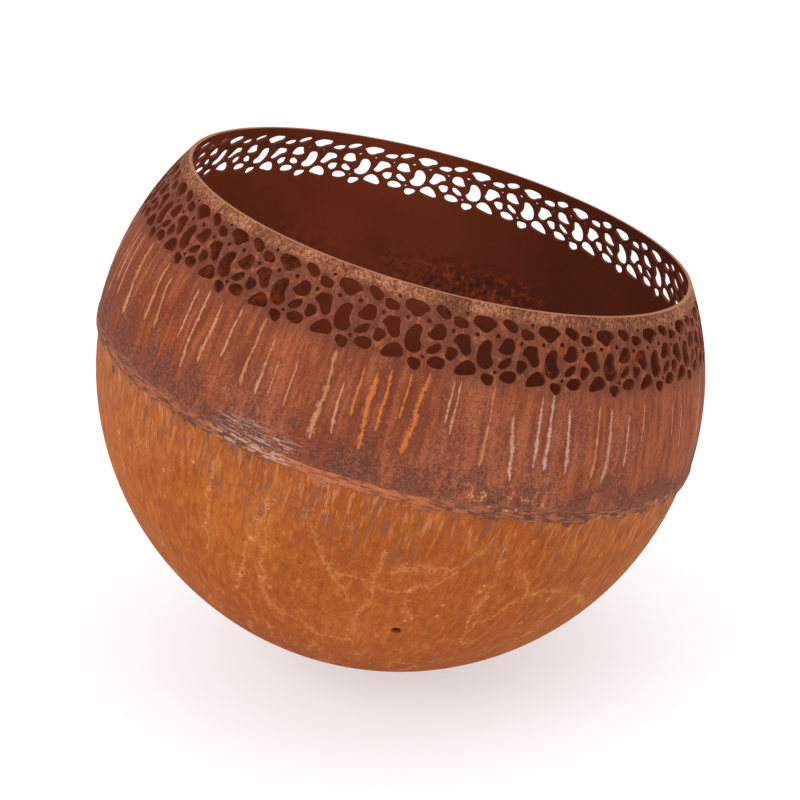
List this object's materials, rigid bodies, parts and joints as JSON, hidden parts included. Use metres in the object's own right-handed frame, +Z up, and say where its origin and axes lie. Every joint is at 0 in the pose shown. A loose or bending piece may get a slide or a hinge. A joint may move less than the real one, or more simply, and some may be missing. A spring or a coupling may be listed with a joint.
{
  "type": "fire pit with grate",
  "caption": "Ball-shaped rusted steel fire bowl leaning on a foot ring, with a pebble-cut openwork band under its rim and a round log grate that lifts out.",
  "frame": {"origin": "on the ground at the centre of the foot ring, straight under the ball's centre", "axes": "+Z up; the bowl's axis leans 14.6 degrees from +Z towards +X, so the rim is lowest on the +X side; the XZ plane is the plane of the lean"},
  "size_m": [0.5954, 0.603, 0.5194],
  "materials": {
    "dish_rust": "orange-ochre rust with drip veins",
    "band_rust": "mid brown-red rust with pale drips",
    "seam_weld_rust": "rough dark weld bead",
    "foot_steel": "dark rust",
    "lug_steel": "sooty rust",
    "grate_steel": "heat-darkened rusty bar"
  },
  "bodies": {
    "fire_bowl": {"lower_bowl": "dish_rust", "upper_band": "band_rust", "seam_weld": "seam_weld_rust", "foot_ring": "foot_steel", "foot_weld": "foot_steel", "grate_lug_1": "lug_steel", "grate_lug_2": "lug_steel", "grate_lug_3": "lug_steel"},
    "grate": {"grate_ring": "grate_steel", "grate_bar_01": "grate_steel", "grate_bar_02": "grate_steel", "grate_bar_03": "grate_steel", "grate_bar_04": "grate_steel", "grate_bar_05": "grate_steel", "grate_bar_06": "grate_steel", "grate_bar_07": "grate_steel", "grate_bar_08": "grate_steel", "grate_bar_09": "grate_steel", "grate_bar_10": "grate_steel", "grate_bar_11": "grate_steel", "cross_bar_1": "grate_steel", "cross_bar_2": "grate_steel", "lift_loop_1": "grate_steel", "lift_loop_2": "grate_steel"}
  },
  "joints": [
    {"name": "grate_lift", "type": "slide", "parent": "fire_bowl", "child": "grate", "axis": [0, 0, 1], "range_m": [0, 0.5]}
  ]
}
